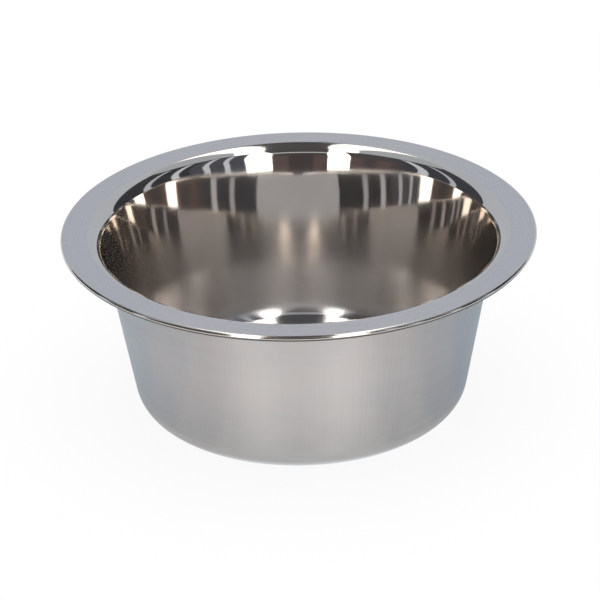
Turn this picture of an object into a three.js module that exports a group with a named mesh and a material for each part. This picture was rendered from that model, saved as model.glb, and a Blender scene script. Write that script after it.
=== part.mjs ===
// A round pet bowl, drawn and spun from one disc of stainless steel sheet.
// Millimetres. +Z is up along the bowl's axis, and the origin is the middle of the underside.
//
// Seen in section the sheet is one unbroken line: a flat floor, a round base corner, a leaning wall,
// a shoulder that flares a little more, a fillet over the mouth, a flat flange, and an edge that is
// curled under itself into a small hollow bead.

import * as THREE from 'three';

// Driving dimensions. "Inside" means the food side of the sheet.
const rimDiameter = 210; // over the curled edge
const bowlHeight = 83.5; // underside of the floor to the top of the flange
const sheet = 0.5; // thickness of the steel
const flangeWidth = 9.4; // flat land between the mouth fillet and the curled edge
const beadDiameter = 2.6; // outside of the curled edge
const seatClearance = 0.3; // from the curl to the ring under the flange that a stand's ring bears on
const curlTurn = 270; // degrees that the edge is curled round
const mouthRadius = 7.5; // fillet from the flange into the mouth, on the inside
const shoulderLean = 15.4; // degrees from upright where the mouth fillet ends
const shoulderRadius = 260; // slow bend between the shoulder's lean and the wall's
const wallLean = 10.3; // degrees from upright along the straight wall
const cornerRadius = 13; // round from the wall to the floor, on the inside

// How finely the round surfaces are cut into flat facets
const bendError = 0.05; // most that a facet may stray from a bend in the section
const segmentsAround = 80; // facets round the axis, a multiple of four

const steel = new THREE.MeshStandardMaterial({ color: 0xb3b2b0, roughness: 0.28, metalness: 1.0 });

// Enough facets that none strays from an arc by more than bendError
function facetsInBend(radius, turn) {
  const widest = 2 * Math.acos(1 - bendError / Math.max(radius, bendError));
  return Math.max(2, Math.ceil(Math.abs(turn) / widest));
}

// Draws the middle of the sheet from the axis outwards. Each station has its distance from the axis r,
// its height z, and its heading, an angle from outwards towards up. The food side lies to its left.
function middleLine() {
  const wall = THREE.MathUtils.degToRad(wallLean);
  const shoulder = THREE.MathUtils.degToRad(shoulderLean);
  const upright = Math.PI / 2;

  // Radii of the bends at the middle of the sheet
  const corner = cornerRadius + sheet / 2;
  const mouth = mouthRadius - sheet / 2;
  const bead = (beadDiameter - sheet) / 2;

  // The straight wall takes the height that the bends leave, and the floor the width
  const cornerRise = corner * (1 - Math.sin(wall));
  const shoulderRise = shoulderRadius * (Math.sin(shoulder) - Math.sin(wall));
  const mouthRise = mouth * (1 - Math.sin(shoulder));
  const wallRise = bowlHeight - sheet - cornerRise - shoulderRise - mouthRise;
  const shoulderSpread = shoulderRadius * (Math.cos(wall) - Math.cos(shoulder));
  const flangeInner = (rimDiameter - beadDiameter) / 2 - flangeWidth;
  const overCurl = beadDiameter / 2 + seatClearance;
  const mouthFoot = flangeInner - mouth * Math.cos(shoulder);
  const wallFoot = mouthFoot - shoulderSpread - wallRise * Math.tan(wall);
  const floorRadius = wallFoot - corner * Math.cos(wall);

  const stations = [{ r: 0, z: sheet / 2, heading: 0 }];

  function straight(length) {
    const { r, z, heading } = stations.at(-1);
    stations.push({
      r: r + length * Math.cos(heading),
      z: z + length * Math.sin(heading),
      heading,
    });
  }

  // A positive turn bends to the left, towards the food side, and a negative one to the right
  function bend(radius, turn) {
    const start = stations.at(-1);
    const offset = Math.sign(turn) * radius;
    const centreR = start.r - offset * Math.sin(start.heading);
    const centreZ = start.z + offset * Math.cos(start.heading);
    const facets = facetsInBend(radius, turn);
    for (let facet = 1; facet <= facets; facet += 1) {
      const heading = start.heading + (turn * facet) / facets;
      stations.push({
        r: centreR + offset * Math.sin(heading),
        z: centreZ - offset * Math.cos(heading),
        heading,
      });
    }
  }

  straight(floorRadius);
  bend(corner, upright - wall);
  straight(wallRise / Math.cos(wall));
  bend(shoulderRadius, wall - shoulder);
  bend(mouth, shoulder - upright);
  // The flange is cut in two where the curl starts under it, so that the seat below is a plain ring
  straight(flangeWidth - overCurl);
  straight(overCurl);
  bend(bead, -upright);
  bend(bead, upright - THREE.MathUtils.degToRad(curlTurn));
  return stations;
}

// One side of the sheet: side is +1 for the food side and -1 for the underside
function sheetSurface(stations, side) {
  return stations.map(({ r, z, heading }) => new THREE.Vector2(
    Math.max(0, r - (side * sheet * Math.sin(heading)) / 2),
    z + (side * sheet * Math.cos(heading)) / 2,
  ));
}

// Out along the underside, round the cut edge inside the bead, and back along the food side
function makeBowl() {
  const stations = middleLine();
  const outline = [...sheetSurface(stations, -1), ...sheetSurface(stations, 1).reverse()];
  const geometry = new THREE.LatheGeometry(outline, segmentsAround);
  geometry.rotateX(Math.PI / 2); // the lathe turns about Y, the bowl stands on Z
  const bowl = new THREE.Mesh(geometry, steel);
  bowl.name = 'bowl';
  return bowl;
}

const petBowl = new THREE.Group();
petBowl.add(makeBowl());

export default petBowl;
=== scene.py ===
"""A drawn steel pet bowl, standing on a pale studio floor."""

import math

import bmesh
import bpy
from mathutils import Matrix, Vector


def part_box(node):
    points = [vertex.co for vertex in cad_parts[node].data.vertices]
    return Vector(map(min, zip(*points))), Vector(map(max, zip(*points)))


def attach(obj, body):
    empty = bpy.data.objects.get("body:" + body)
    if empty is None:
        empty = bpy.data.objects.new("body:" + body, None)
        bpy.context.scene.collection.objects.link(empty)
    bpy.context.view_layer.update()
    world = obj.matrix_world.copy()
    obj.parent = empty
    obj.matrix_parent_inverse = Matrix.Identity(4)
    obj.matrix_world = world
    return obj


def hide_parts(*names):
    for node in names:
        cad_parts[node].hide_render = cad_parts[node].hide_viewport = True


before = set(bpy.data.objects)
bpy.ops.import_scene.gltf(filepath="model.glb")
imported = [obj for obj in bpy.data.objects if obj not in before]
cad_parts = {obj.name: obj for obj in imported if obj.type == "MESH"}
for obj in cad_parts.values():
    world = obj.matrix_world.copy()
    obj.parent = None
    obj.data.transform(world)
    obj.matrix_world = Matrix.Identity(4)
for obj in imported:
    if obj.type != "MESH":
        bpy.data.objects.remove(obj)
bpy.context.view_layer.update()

# The section of the sheet, in metres and degrees, as the solid has it. "Inside" means the food side.
RIM_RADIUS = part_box("bowl")[1][0]
BOWL_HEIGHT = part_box("bowl")[1][2]
SHEET = 0.0005
FLANGE_WIDTH = 0.0094
BEAD_DIAMETER = 0.0026
CURL_TURN = 270.0
MOUTH_RADIUS = 0.0075
SHOULDER_LEAN = 15.4
SHOULDER_RADIUS = 0.260
WALL_LEAN = 10.3
CORNER_RADIUS = 0.013

# How finely the surface is cut
SEGMENTS_AROUND = 360
WALL_STEPS = 16
FLOOR_STEPS = 10
FLANGE_STEPS = 6
BEND_STEP = math.radians(2.5)
SHOULDER_STEPS = 12
CURL_STEP = math.radians(12)
SHARP_ANGLE = math.radians(40)

# The photograph's camera. Pitch and roll are in radians. Distance and rise are in metres from the
# middle of the bowl's base: back along the line of sight, and square to it.
PICTURE_SIDE = 600
FOCAL_PIXELS = 3724.0
CAMERA_PITCH = 0.4645
CAMERA_ROLL = 0.0216
CAMERA_DISTANCE = 1.68
CAMERA_RISE = 0.04313
SENSOR_WIDTH = 36.0

# Colours of the steel in its finishes, with the painted shade and painted highlight on it
BARE_STEEL = (0.757, 0.70, 0.645)
HAZED_WALL = (0.65, 0.608, 0.573)
HAZED_FLOOR = (0.72, 0.685, 0.66)
# painted shade: the dark colour of the curl's underside, for the shadowed gap under it
CURL_PAINTED_SHADE = (0.11, 0.102, 0.096)
SATIN = (0.71, 0.665, 0.65)
BRUSHED_COOL = (0.588, 0.575, 0.568)
BRUSHED_WARM = (0.636, 0.593, 0.577)
# painted shade: a darker steel towards the foot of the outer wall
BRUSHED_PAINTED_SHADE = (0.475, 0.466, 0.46)
# painted highlight: a paler, bluer steel for the rounded foot, the floor's light mirrored there
FOOT_PAINTED_HIGHLIGHT = (0.62, 0.64, 0.66)

# Inside, the polish is clear at the mouth, hazy low on the wall and clearer again in the base corner.
# These heights and the next ones are in metres above the floor.
HAZE_TOP = 0.043
HAZE_BOTTOM = 0.019
CORNER_CLEAR_TOP = 0.0075
CORNER_CLEAR = 0.0045
CLEAR_ROUGHNESS = 0.03
HAZE_ROUGHNESS = 0.21
FLOOR_ROUGHNESS = 0.09

# Inside, the hazed colour goes from the floor's to the wall's between these heights
FLOOR_COLOUR_TOP = 0.004
WALL_COLOUR_FOOT = 0.016

# Outside, painted shade darkens the wall from this height down, and a painted highlight brightens its foot
FOOT_SHADE_TOP = 0.055
FOOT_HIGHLIGHT_TOP = 0.0065
FOOT_HIGHLIGHT_FULL = 0.003

# The curled edge is bare steel above the upper height and painted shade below the lower one, for the
# shadowed gap under the curl
CURL_SHADOW_TOP = BOWL_HEIGHT - 0.0010
CURL_SHADOW_FULL = BOWL_HEIGHT - 0.0016

# How far the flange's satin runs round the mouth fillet
SATIN_OVERLAP = math.radians(8)

# Nearly all values of a noise lie between these two
NOISE_LOW = 0.3
NOISE_HIGH = 0.7

# The share of a full turn that draws the gloss out across the marks
GLOSS_TURN = 0.25

# What the clouds and the smudges each add to the mottle outside
CLOUD_SHARE = 0.6
SMUDGE_SHARE = 0.4

# The studio, in metres and degrees. Azimuths run from the camera's side, positive to the right.
WALL_DISTANCE = 3.0
WALL_LEAN_BACK = 9.0
WALL_FOOT = -2
CEILING_HEIGHT = 4.2
CEILING_REACH = 1.5
OPENING_SWEEP = (-18, 15)
BACKDROP_SWEEP = (128, 231)
WARM_RISE = (2, 27)
STRIP_TOP = 52
SOFTBOX_BEND = 40
SOFTBOX_TOP = 51
CROSSBAR_RISE = (41.5, 46.5)
SLOT_END_SWEEP = (177, 182)
SLOT_END_RISE = (43, 55)

# How far in front of the walls and the ceiling each layer of cards hangs
WARM_LAYER = 0.05
STRIP_LAYER = 0.1
SOFTBOX_LAYER = 0.2

# Strengths of the brightest cards, in which 1 is white
SOFTBOX_STRENGTH = 3.0
BAR_STRENGTH = 1.9

# The floor, in metres. FLOOR_GLOW is the share of an even white in what the camera and the steel see.
FLOOR_HALF = 6.0
FLOOR_DROP = 0.0002
FLOOR_GREY = 0.95
FLOOR_DULLNESS = 0.9
FLOOR_SHINE = 0.1
FLOOR_GLOW = 0.88

# The glowing sheets on the floor that only the steel mirrors, a painted reflection, in metres
SHADE_HEIGHT = 0.0005
SHADE_REACH = (0.08, 0.6)

# How many degrees one column of a round card spans
WALL_COLUMN = 4
SHADE_COLUMN = 8

# The lamp over the bowl, in metres and watts
LAMP_PLACE = (0, -0.2, 1.8)
LAMP_SIZE = 1.2
LAMP_POWER = 5.0


# The section

class Pen:
    """Draws the middle of the sheet from the axis outwards; the food side lies to its left."""

    def __init__(self):
        self.stations = [(0.0, SHEET / 2, 0.0, "floor")]

    def straight(self, length, steps, region):
        r, z, heading, _ = self.stations[-1]
        for step in range(1, steps + 1):
            part = length * step / steps
            self.stations.append((
                r + part * math.cos(heading),
                z + part * math.sin(heading),
                heading,
                region,
            ))

    def bend(self, radius, turn, step_angle, region):
        """A positive turn bends to the left, towards the food side."""
        r, z, start, _ = self.stations[-1]
        offset = math.copysign(radius, turn)
        centre_r = r - offset * math.sin(start)
        centre_z = z + offset * math.cos(start)
        steps = max(2, math.ceil(abs(turn) / step_angle))
        for step in range(1, steps + 1):
            heading = start + turn * step / steps
            self.stations.append((
                centre_r + offset * math.sin(heading),
                centre_z - offset * math.cos(heading),
                heading,
                region,
            ))


def middle_line():
    """The middle of the sheet, from the axis to the cut edge inside the bead."""
    wall = math.radians(WALL_LEAN)
    shoulder = math.radians(SHOULDER_LEAN)
    upright = math.pi / 2
    corner = CORNER_RADIUS + SHEET / 2
    mouth = MOUTH_RADIUS - SHEET / 2
    bead = (BEAD_DIAMETER - SHEET) / 2

    corner_rise = corner * (1 - math.sin(wall))
    shoulder_rise = SHOULDER_RADIUS * (math.sin(shoulder) - math.sin(wall))
    mouth_rise = mouth * (1 - math.sin(shoulder))
    wall_rise = BOWL_HEIGHT - SHEET - corner_rise - shoulder_rise - mouth_rise
    shoulder_spread = SHOULDER_RADIUS * (math.cos(wall) - math.cos(shoulder))
    flange_inner = RIM_RADIUS - BEAD_DIAMETER / 2 - FLANGE_WIDTH
    mouth_foot = flange_inner - mouth * math.cos(shoulder)
    wall_foot = mouth_foot - shoulder_spread - wall_rise * math.tan(wall)
    floor_radius = wall_foot - corner * math.cos(wall)

    pen = Pen()
    pen.straight(floor_radius, FLOOR_STEPS, "floor")
    pen.bend(corner, upright - wall, BEND_STEP, "wall")
    pen.straight(wall_rise / math.cos(wall), WALL_STEPS, "wall")
    pen.bend(SHOULDER_RADIUS, wall - shoulder, (shoulder - wall) / SHOULDER_STEPS, "wall")
    pen.bend(mouth, shoulder + SATIN_OVERLAP - upright, BEND_STEP, "wall")
    pen.bend(mouth, -SATIN_OVERLAP, BEND_STEP, "flange")
    pen.straight(FLANGE_WIDTH, FLANGE_STEPS, "flange")
    pen.bend(bead, -math.radians(CURL_TURN), CURL_STEP, "bead")
    return pen.stations


def sheet_outline():
    """Out along the underside, round the cut edge, and back along the food side."""
    stations = middle_line()
    outline = []
    for side in (-1, 1):
        away = side * SHEET / 2
        line = stations if side < 0 else stations[::-1]
        for r, z, heading, region in line:
            outline.append((
                max(0.0, r - away * math.sin(heading)),
                z + away * math.cos(heading),
                region,
                side,
            ))
    return outline


def finish_of(first, second):
    """The finish of the band between two points of the outline."""
    (_, _, region_a, side_a), (_, _, region_b, side_b) = first, second
    if side_a != side_b:
        return "satin"
    region = region_b if side_a < 0 else region_a
    if region == "bead":
        return "rolled"
    if side_a < 0:
        return "brushed"
    return "satin" if region == "flange" else "polished"


# The bowl

def add_mesh(name, shape, materials):
    """Puts a drawn shape into the scene as an object of its own."""
    mesh = bpy.data.meshes.new(name)
    for material in materials:
        mesh.materials.append(material)
    shape.to_mesh(mesh)
    shape.free()
    piece = bpy.data.objects.new(name, mesh)
    bpy.context.scene.collection.objects.link(piece)
    return piece


def turned_ring(shape, r, z):
    """The points that one point of the outline passes through, or a single point on the axis."""
    if r == 0.0:
        return [shape.verts.new((0.0, 0.0, z))]
    ring = []
    for step in range(SEGMENTS_AROUND):
        angle = 2 * math.pi * step / SEGMENTS_AROUND
        ring.append(shape.verts.new((r * math.cos(angle), r * math.sin(angle), z)))
    return ring


def fill_band(shape, lower, upper, slot):
    """Faces between two rings, of which one may be a point on the axis."""
    for step in range(SEGMENTS_AROUND):
        after = (step + 1) % SEGMENTS_AROUND
        if len(lower) == 1:
            corners = (lower[0], upper[after], upper[step])
        elif len(upper) == 1:
            corners = (lower[step], lower[after], upper[0])
        else:
            corners = (lower[step], lower[after], upper[after], upper[step])
        face = shape.faces.new(corners)
        face.material_index = slot
        face.smooth = True


def make_bowl(finishes):
    """One closed sheet, turned about the axis, with each band in its own finish."""
    outline = sheet_outline()
    slots = {name: index for index, name in enumerate(finishes)}
    shape = bmesh.new()
    rings = [turned_ring(shape, r, z) for r, z, _, _ in outline]
    for index in range(len(rings) - 1):
        slot = slots[finish_of(outline[index], outline[index + 1])]
        fill_band(shape, rings[index], rings[index + 1], slot)
    bmesh.ops.recalc_face_normals(shape, faces=shape.faces)
    for edge in shape.edges:
        edge.smooth = edge.calc_face_angle() < SHARP_ANGLE

    bowl = add_mesh("bowl_skin", shape, finishes.values())
    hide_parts("bowl")
    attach(bowl, "root")


# The nodes that the finishes share

def feed(tree, socket, value):
    """Links a node's output to the socket, or sets the socket to a plain value."""
    if isinstance(value, bpy.types.NodeSocket):
        tree.links.new(value, socket)
    else:
        socket.default_value = value


def calculate(tree, operation, *values):
    node = tree.nodes.new("ShaderNodeMath")
    node.operation = operation
    for socket, value in zip(node.inputs, values):
        feed(tree, socket, value)
    return node.outputs["Value"]


def total(tree, *values):
    """The sum of all the values."""
    result = values[0]
    for value in values[1:]:
        result = calculate(tree, "ADD", result, value)
    return result


def noise(tree, vector, scale, detail):
    node = tree.nodes.new("ShaderNodeTexNoise")
    feed(tree, node.inputs["Vector"], vector)
    node.inputs["Scale"].default_value = scale
    node.inputs["Detail"].default_value = detail
    return node.outputs["Fac"]


def place_on_bowl(tree):
    """Where a point of the bowl lies: x, y and height above the floor."""
    place = tree.nodes.new("ShaderNodeTexCoord")
    split = tree.nodes.new("ShaderNodeSeparateXYZ")
    tree.links.new(place.outputs["Object"], split.inputs["Vector"])
    return tuple(split.outputs[axis] for axis in "XYZ")


def line_noise(tree, spacing, marks_around, seed, detail=2.0):
    """Noise in bands. They are spacing metres apart across the sheet, and marks_around fill a turn."""
    x, y, height = place_on_bowl(tree)
    squares = total(tree, calculate(tree, "MULTIPLY", x, x), calculate(tree, "MULTIPLY", y, y))
    radius = calculate(tree, "SQRT", squares)
    cosine = calculate(tree, "DIVIDE", x, radius)
    sine = calculate(tree, "DIVIDE", y, radius)
    outwards = total(tree, radius, height)
    reach = marks_around / (2 * math.pi)
    join = tree.nodes.new("ShaderNodeCombineXYZ")
    feed(tree, join.inputs["X"], calculate(tree, "MULTIPLY", cosine, reach))
    feed(tree, join.inputs["Y"], calculate(tree, "MULTIPLY", sine, reach))
    feed(tree, join.inputs["Z"], calculate(tree, "MULTIPLY_ADD", outwards, 1 / spacing, seed))
    return noise(tree, join.outputs["Vector"], 1.0, detail)


def cloud_noise(tree, size, detail=3.0):
    """Noise in even patches of about the given size in metres."""
    place = tree.nodes.new("ShaderNodeTexCoord")
    return noise(tree, place.outputs["Object"], 1 / size, detail)


def ramp(tree, value, start, end, low, high):
    """Goes smoothly from low to high as the value goes from start to end."""
    node = tree.nodes.new("ShaderNodeMapRange")
    node.interpolation_type = "SMOOTHSTEP"
    feed(tree, node.inputs["Value"], value)
    node.inputs["From Min"].default_value = start
    node.inputs["From Max"].default_value = end
    node.inputs["To Min"].default_value = low
    node.inputs["To Max"].default_value = high
    return node.outputs["Result"]


def spread(tree, factor, low, high):
    """Stretches the middle of a noise over low to high."""
    return ramp(tree, factor, NOISE_LOW, NOISE_HIGH, low, high)


def bump(tree, height, depth, before=None):
    """Raises the surface by depth metres where height is 1, on top of an earlier bump."""
    node = tree.nodes.new("ShaderNodeBump")
    node.inputs["Strength"].default_value = 1.0
    node.inputs["Distance"].default_value = depth
    feed(tree, node.inputs["Height"], height)
    if before is not None:
        feed(tree, node.inputs["Normal"], before)
    return node.outputs["Normal"]


def blend(tree, factor, first, second):
    """Goes from the first colour to the second as the factor goes from 0 to 1."""
    node = tree.nodes.new("ShaderNodeMix")
    node.data_type = "RGBA"
    feed(tree, node.inputs["Factor"], factor)
    for name, colour in (("A", first), ("B", second)):
        feed(tree, node.inputs[name], (*colour, 1.0) if isinstance(colour, tuple) else colour)
    return node.outputs["Result"]


def tint(tree, factor, colour, contrast):
    """The colour, darker and lighter by the contrast as the factor goes from low to high."""
    darker = tuple(part * (1 - contrast) for part in colour)
    lighter = tuple(min(1.0, part * (1 + contrast)) for part in colour)
    return blend(tree, spread(tree, factor, 0.0, 1.0), darker, lighter)


def bare_steel(name, anisotropy, metallic=1.0):
    """A metal whose gloss is drawn out across marks that run round the bowl."""
    material = bpy.data.materials.new(name)
    material.use_nodes = True
    tree = material.node_tree
    shader = tree.nodes["Principled BSDF"]
    shader.inputs["Metallic"].default_value = metallic
    shader.inputs["Anisotropic"].default_value = anisotropy
    shader.inputs["Anisotropic Rotation"].default_value = GLOSS_TURN
    around = tree.nodes.new("ShaderNodeTangent")
    around.direction_type = "RADIAL"
    around.axis = "Z"
    tree.links.new(around.outputs["Tangent"], shader.inputs["Tangent"])
    return material, tree, shader


# The finishes

def inner_haze(tree, height):
    """How rough the inside is before its marks: least at the mouth and most low on the wall."""
    wall = ramp(tree, height, HAZE_BOTTOM, HAZE_TOP, HAZE_ROUGHNESS, CLEAR_ROUGHNESS)
    gain = HAZE_ROUGHNESS - FLOOR_ROUGHNESS
    cleared = ramp(tree, height, CORNER_CLEAR, CORNER_CLEAR_TOP, gain, 0.0)
    return calculate(tree, "SUBTRACT", wall, cleared)


def inner_colour(tree, height, patches):
    """The colour inside: clear and faintly patchy above, hazed below, palest on the floor."""
    low = ramp(tree, height, FLOOR_COLOUR_TOP, WALL_COLOUR_FOOT, 0.0, 1.0)
    hazed = blend(tree, low, HAZED_FLOOR, HAZED_WALL)
    clear = tint(tree, patches, BARE_STEEL, contrast=0.02)
    clearness = ramp(tree, height, HAZE_BOTTOM, HAZE_TOP, 0.0, 1.0)
    return blend(tree, clearness, hazed, clear)


def polished_steel():
    """The mirror inside: buffing rings, scuffs, breath-like patches and a slight pull in the sheet."""
    material, tree, shader = bare_steel("polished_steel", anisotropy=0.6, metallic=0.975)
    height = place_on_bowl(tree)[2]
    rings = line_noise(tree, spacing=0.0012, marks_around=9, seed=3.0)
    scuffs = line_noise(tree, spacing=0.012, marks_around=260, seed=5.0)
    patches = cloud_noise(tree, size=0.03)
    waves = cloud_noise(tree, size=0.028, detail=0.0)
    gloss = total(
        tree,
        spread(tree, rings, low=0.0, high=0.02),
        spread(tree, patches, low=0.0, high=0.02),
        spread(tree, scuffs, low=0.0, high=0.015),
        inner_haze(tree, height),
    )
    pulled = bump(tree, waves, depth=0.00012)
    feed(tree, shader.inputs["Base Color"], inner_colour(tree, height, patches))
    feed(tree, shader.inputs["Roughness"], gloss)
    feed(tree, shader.inputs["Normal"], bump(tree, scuffs, depth=0.000005, before=pulled))
    return material


def rolled_steel():
    """The curled edge: bright bare steel on top, and painted shade underneath for the shadowed gap under
    the curl.
    """
    material, tree, shader = bare_steel("rolled_steel", anisotropy=0.4)
    height = place_on_bowl(tree)[2]
    rings = line_noise(tree, spacing=0.0008, marks_around=20, seed=17.0)
    dents = cloud_noise(tree, size=0.012)
    # painted shade: below the curl's middle the colour fades to the dark shade of the gap under it
    shade_below = ramp(tree, height, CURL_SHADOW_FULL, CURL_SHADOW_TOP, 0.0, 1.0)
    bright = tint(tree, rings, BARE_STEEL, contrast=0.03)
    gloss = total(
        tree,
        spread(tree, rings, low=0.08, high=0.13),
        spread(tree, dents, low=0.0, high=0.04),
    )
    dented = bump(tree, dents, depth=0.00005)
    feed(tree, shader.inputs["Base Color"], blend(tree, shade_below, CURL_PAINTED_SHADE, bright))
    feed(tree, shader.inputs["Roughness"], gloss)
    feed(tree, shader.inputs["Normal"], bump(tree, rings, depth=0.000003, before=dented))
    return material


def satin_steel():
    """The flange: evenly rubbed round and round, with a few duller patches."""
    material, tree, shader = bare_steel("satin_steel", anisotropy=0.5)
    rings = line_noise(tree, spacing=0.0005, marks_around=14, seed=11.0)
    patches = cloud_noise(tree, size=0.02)
    gloss = total(
        tree,
        spread(tree, rings, low=0.25, high=0.285),
        spread(tree, patches, low=0.0, high=0.04),
    )
    feed(tree, shader.inputs["Base Color"], tint(tree, rings, SATIN, contrast=0.01))
    feed(tree, shader.inputs["Roughness"], gloss)
    feed(tree, shader.inputs["Normal"], bump(tree, rings, depth=0.000002))
    return material


def outer_colour(tree, height, clouds, smudges):
    """The colour outside: mottled, with painted shade darkening it towards the foot and a painted highlight
    on the foot itself.
    """
    smudged = calculate(tree, "MULTIPLY", smudges, SMUDGE_SHARE)
    mottle = calculate(tree, "MULTIPLY_ADD", clouds, CLOUD_SHARE, smudged)
    upper = blend(tree, spread(tree, mottle, low=0.0, high=1.0), BRUSHED_COOL, BRUSHED_WARM)
    # painted shade: a darker, faintly smudged steel towards the foot
    lower = tint(tree, smudges, BRUSHED_PAINTED_SHADE, contrast=0.035)
    wall = blend(tree, ramp(tree, height, 0.0, FOOT_SHADE_TOP, 0.0, 1.0), lower, upper)
    # painted highlight: the rounded foot turns paler and bluer, the floor's light mirrored there
    rubbed = ramp(tree, height, FOOT_HIGHLIGHT_FULL, FOOT_HIGHLIGHT_TOP, 1.0, 0.0)
    return blend(tree, rubbed, wall, FOOT_PAINTED_HIGHLIGHT)


def brushed_steel():
    """The outside: brushed round the wall, crossed by the faint upright lines that drawing leaves."""
    material, tree, shader = bare_steel("brushed_steel", anisotropy=0.75)
    height = place_on_bowl(tree)[2]
    brushing = line_noise(tree, spacing=0.0006, marks_around=12, seed=23.0, detail=3.0)
    draw_lines = line_noise(tree, spacing=0.05, marks_around=420, seed=31.0)
    smudges = line_noise(tree, spacing=0.007, marks_around=40, seed=47.0, detail=5.0)
    clouds = cloud_noise(tree, size=0.03)
    gloss = total(
        tree,
        spread(tree, brushing, low=0.42, high=0.48),
        spread(tree, smudges, low=0.0, high=0.03),
        spread(tree, draw_lines, low=0.0, high=0.03),
    )
    scored = bump(tree, draw_lines, depth=0.00007)
    feed(tree, shader.inputs["Base Color"], outer_colour(tree, height, clouds, smudges))
    feed(tree, shader.inputs["Roughness"], gloss)
    feed(tree, shader.inputs["Normal"], bump(tree, brushing, depth=0.000004, before=scored))
    return material


# The studio's cards

def glow(name, colour, strength=1.0):
    """A card or softbox of an even colour."""
    material = bpy.data.materials.new(name)
    material.use_nodes = True
    tree = material.node_tree
    tree.nodes.clear()
    light = tree.nodes.new("ShaderNodeEmission")
    light.inputs["Color"].default_value = (*colour, 1.0)
    light.inputs["Strength"].default_value = strength
    output = tree.nodes.new("ShaderNodeOutputMaterial")
    tree.links.new(light.outputs["Emission"], output.inputs["Surface"])
    return material


def sheet_through(grid):
    """A sheet through rows of points."""
    shape = bmesh.new()
    rows = [[shape.verts.new(point) for point in line] for line in grid]
    for lower, upper in zip(rows, rows[1:]):
        for column in range(len(lower) - 1):
            shape.faces.new((lower[column], lower[column + 1], upper[column + 1], upper[column]))
    return shape


def card(name, grid, material):
    """A sheet that the steel mirrors and nothing else sees."""
    sheet = add_mesh(name, sheet_through(grid), [material])
    sheet.visible_camera = False
    sheet.visible_diffuse = False
    sheet.visible_shadow = False
    sheet.visible_transmission = False


def wall_card(name, sweep, rise, material, nearer=0.0, top_sweep=None):
    """Part of the round wall, from one azimuth and elevation to another, as the bowl sees it."""
    distance = WALL_DISTANCE - nearer
    columns = max(2, math.ceil((sweep[1] - sweep[0]) / WALL_COLUMN))
    grid = []
    for elevation, (start, end) in zip(rise, (sweep, top_sweep or sweep)):
        height = distance * math.tan(math.radians(elevation))
        lean = height * math.tan(math.radians(WALL_LEAN_BACK))
        line = []
        for column in range(columns + 1):
            azimuth = math.radians(start + (end - start) * column / columns)
            line.append((
                distance * math.sin(azimuth),
                -distance * math.cos(azimuth) + lean,
                BOWL_HEIGHT + height,
            ))
        grid.append(line)
    card(name, grid, material)


def ceiling_card(name, stations, material, lower=0.0):
    """Part of the ceiling. A station is its place towards the back and its left and right sides.

    All three are shares of the ceiling's height above the rim.
    """
    height = CEILING_HEIGHT - lower
    level = BOWL_HEIGHT + height
    grid = [
        [(left * height, back * height, level), (right * height, back * height, level)]
        for back, left, right in stations
    ]
    card(name, grid, material)


def floor_card(name, sweep, material):
    """Part of a ring that lies on the floor round the bowl."""
    start, end = sweep
    columns = math.ceil(abs(end - start) / SHADE_COLUMN)
    azimuths = [math.radians(start + (end - start) * column / columns) for column in range(columns + 1)]
    grid = [
        [(reach * math.sin(azimuth), -reach * math.cos(azimuth), SHADE_HEIGHT) for azimuth in azimuths]
        for reach in SHADE_REACH
    ]
    card(name, grid, material)


# The studio

def make_walls():
    """Dark walls at the front and sides, with an opening between them, and a pale backdrop."""
    top = math.degrees(math.atan(CEILING_HEIGHT / WALL_DISTANCE))
    walls = {
        "opening": (OPENING_SWEEP, (0.052, 0.047, 0.048)),
        "front_left_wall": ((-64, -18), (0.060, 0.056, 0.060)),
        "side_left_wall": ((-129, -64), (0.036, 0.041, 0.054)),
        "front_right_wall": ((15, 64), (0.062, 0.070, 0.093)),
        "side_right_wall": ((64, 128), (0.026, 0.028, 0.037)),
        "backdrop": (BACKDROP_SWEEP, (0.50, 0.55, 0.63)),
    }
    for name, (sweep, colour) in walls.items():
        wall_card(name, sweep, (WALL_FOOT, top), glow(name, colour))


def make_warm_corners():
    """Warm, slightly lighter panels low on the dark walls."""
    warm = glow("warm_corner", (0.105, 0.075, 0.070))
    corners = {
        "warm_left": (-16, -9),
        "warm_right": (5, 13),
        "warm_outer": (-38, -31),
        "warm_far": (-56, -46),
    }
    for name, sweep in corners.items():
        wall_card(name, sweep, WARM_RISE, warm, WARM_LAYER)


def make_strips():
    """Narrow strips on the walls, which the inside mirrors as upright lines."""
    pale = glow("pale_strip", (0.62, 0.67, 0.75))
    dim = glow("dim_strip", (0.48, 0.52, 0.60))
    strips = {
        "strip_left": ((-79.5, -72.5), pale),
        "strip_far_left": ((-102, -96.5), dim),
        "strip_right": ((71, 76.5), pale),
        "strip_far_right": ((92, 98), dim),
        "strip_thin": ((38.5, 42), pale),
        "strip_thin_outer": ((51, 55), pale),
    }
    for name, (sweep, material) in strips.items():
        wall_card(name, sweep, (WALL_FOOT, STRIP_TOP), material, STRIP_LAYER)


def make_softboxes():
    """Two tall softboxes, each with a slanted top, and the crossbar between their tops."""
    white = glow("softbox", (1.0, 1.0, 1.0), SOFTBOX_STRENGTH)
    softboxes = {
        "softbox_left": ((-30.5, -17.5), (-31, -20.5)),
        "softbox_right": ((14.5, 29), (18, 29.5)),
    }
    for name, (sweep, top_sweep) in softboxes.items():
        wall_card(name, sweep, (WALL_FOOT, SOFTBOX_BEND), white, SOFTBOX_LAYER)
        wall_card(f"{name}_top", sweep, (SOFTBOX_BEND, SOFTBOX_TOP), white, SOFTBOX_LAYER, top_sweep)
    grey = glow("crossbar", (0.62, 0.67, 0.72))
    wall_card("crossbar", OPENING_SWEEP, CROSSBAR_RISE, grey, SOFTBOX_LAYER)


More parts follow.
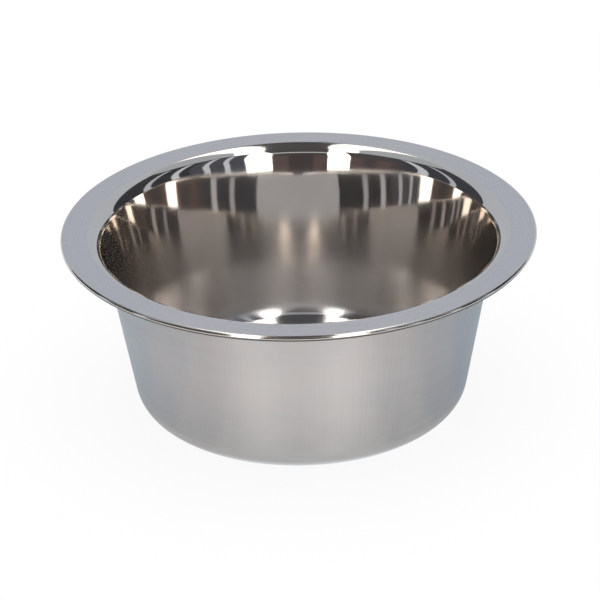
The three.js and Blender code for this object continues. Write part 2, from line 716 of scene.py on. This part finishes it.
def make_ceiling_bars():
    """Two bright bars that draw together towards the back. A station is its place, inner and outer side."""
    white = glow("ceiling_bar", (1.0, 1.0, 1.0), BAR_STRENGTH)
    right = (
        (-0.78, 0.30, 0.56),
        (-0.33, 0.215, 0.45),
        (0.0, 0.14, 0.30),
        (0.41, 0.09, 0.26),
        (1.1, 0.055, 0.20),
    )
    left = [(back, -outer, -inner) for back, inner, outer in right]
    ceiling_card("bar_right", right, white, SOFTBOX_LAYER)
    ceiling_card("bar_left", left, white, SOFTBOX_LAYER)


def make_ceiling():
    """A pale ceiling with a dark slot along it, which goes on down the backdrop."""
    pale = glow("ceiling", (0.42, 0.47, 0.52))
    dark = glow("ceiling_slot", (0.062, 0.064, 0.07))
    whole = [(back, -CEILING_REACH, CEILING_REACH) for back in (-CEILING_REACH, CEILING_REACH)]
    slot = ((-0.8, -0.32, 0.32), (0.0, -0.165, 0.165), (0.95, -0.05, 0.065))
    ceiling_card("ceiling", whole, pale)
    ceiling_card("slot", slot, dark, STRIP_LAYER)
    wall_card("slot_end", SLOT_END_SWEEP, SLOT_END_RISE, dark, STRIP_LAYER)


def make_floor_shades():
    """Glowing sheets beside the bowl that only the steel mirrors, greyer and bluer to the back: a painted
    reflection that tones down the flanks of its wall.
    """
    tones = (
        ("front", 34, 58, (0.86, 0.87, 0.88), (0.84, 0.85, 0.86)),
        ("middle", 58, 82, (0.76, 0.79, 0.83), (0.67, 0.71, 0.76)),
        ("back", 82, 178, (0.68, 0.77, 0.84), (0.58, 0.67, 0.76)),
    )
    for place, start, end, left, right in tones:
        floor_card(f"shade_left_{place}", (-end, -start), glow(f"shade_left_{place}", left))
        floor_card(f"shade_right_{place}", (start, end), glow(f"shade_right_{place}", right))


def floor_paint():
    """Pale and dull, and nearly white by itself to the camera and in what the steel mirrors."""
    material = bpy.data.materials.new("floor")
    material.use_nodes = True
    tree = material.node_tree
    shader = tree.nodes["Principled BSDF"]
    shader.inputs["Base Color"].default_value = (FLOOR_GREY, FLOOR_GREY, FLOOR_GREY, 1.0)
    shader.inputs["Roughness"].default_value = FLOOR_DULLNESS
    shader.inputs["Specular IOR Level"].default_value = FLOOR_SHINE
    path = tree.nodes.new("ShaderNodeLightPath")
    rays = ("Is Camera Ray", "Is Glossy Ray", "Is Transmission Ray")
    seen = calculate(tree, "MINIMUM", total(tree, *(path.outputs[ray] for ray in rays)), 1.0)
    white = tree.nodes.new("ShaderNodeEmission")
    white.inputs["Strength"].default_value = 1.0
    mix = tree.nodes.new("ShaderNodeMixShader")
    feed(tree, mix.inputs["Fac"], calculate(tree, "MULTIPLY", seen, FLOOR_GLOW))
    tree.links.new(shader.outputs["BSDF"], mix.inputs[1])
    tree.links.new(white.outputs["Emission"], mix.inputs[2])
    tree.links.new(mix.outputs["Shader"], tree.nodes["Material Output"].inputs["Surface"])
    return material


def make_floor():
    grid = [[(x, y, 0.0) for x in (-FLOOR_HALF, FLOOR_HALF)] for y in (-FLOOR_HALF, FLOOR_HALF)]
    floor = add_mesh("floor", sheet_through(grid), [floor_paint()])
    floor.location.z = -FLOOR_DROP


def make_world():
    world = bpy.data.worlds.new("studio")
    world.use_nodes = True
    background = world.node_tree.nodes["Background"]
    background.inputs["Color"].default_value = (1.0, 1.0, 1.0, 1.0)
    background.inputs["Strength"].default_value = 1.0
    bpy.context.scene.world = world


def make_lamp():
    lamp = bpy.data.lights.new("overhead", "AREA")
    lamp.shape = "SQUARE"
    lamp.size = LAMP_SIZE
    lamp.energy = LAMP_POWER
    overhead = bpy.data.objects.new("overhead", lamp)
    overhead.location = LAMP_PLACE
    overhead.visible_glossy = False
    bpy.context.scene.collection.objects.link(overhead)


def make_camera():
    """The photograph's view: pitched down, rolled a little, with the bowl's base below its middle."""
    forward = Vector((0.0, math.cos(CAMERA_PITCH), -math.sin(CAMERA_PITCH)))
    level_up = Vector((0.0, math.sin(CAMERA_PITCH), math.cos(CAMERA_PITCH)))
    level_right = Vector((1.0, 0.0, 0.0))
    right = level_right * math.cos(CAMERA_ROLL) - level_up * math.sin(CAMERA_ROLL)
    up = level_up * math.cos(CAMERA_ROLL) + level_right * math.sin(CAMERA_ROLL)
    place = -CAMERA_DISTANCE * forward + CAMERA_RISE * level_up
    data = bpy.data.cameras.new("camera")
    data.sensor_width = SENSOR_WIDTH
    data.lens = FOCAL_PIXELS * SENSOR_WIDTH / PICTURE_SIDE
    camera = bpy.data.objects.new("camera", data)
    camera.matrix_world = Matrix((
        (right.x, up.x, -forward.x, place.x),
        (right.y, up.y, -forward.y, place.y),
        (right.z, up.z, -forward.z, place.z),
        (0.0, 0.0, 0.0, 1.0),
    ))
    bpy.context.scene.collection.objects.link(camera)
    bpy.context.scene.camera = camera


make_bowl({
    "polished": polished_steel(),
    "rolled": rolled_steel(),
    "satin": satin_steel(),
    "brushed": brushed_steel(),
})
make_floor()
make_floor_shades()
make_walls()
make_warm_corners()
make_strips()
make_softboxes()
make_ceiling_bars()
make_ceiling()
make_world()
make_lamp()
make_camera()
bpy.context.scene.view_settings.view_transform = "Standard"
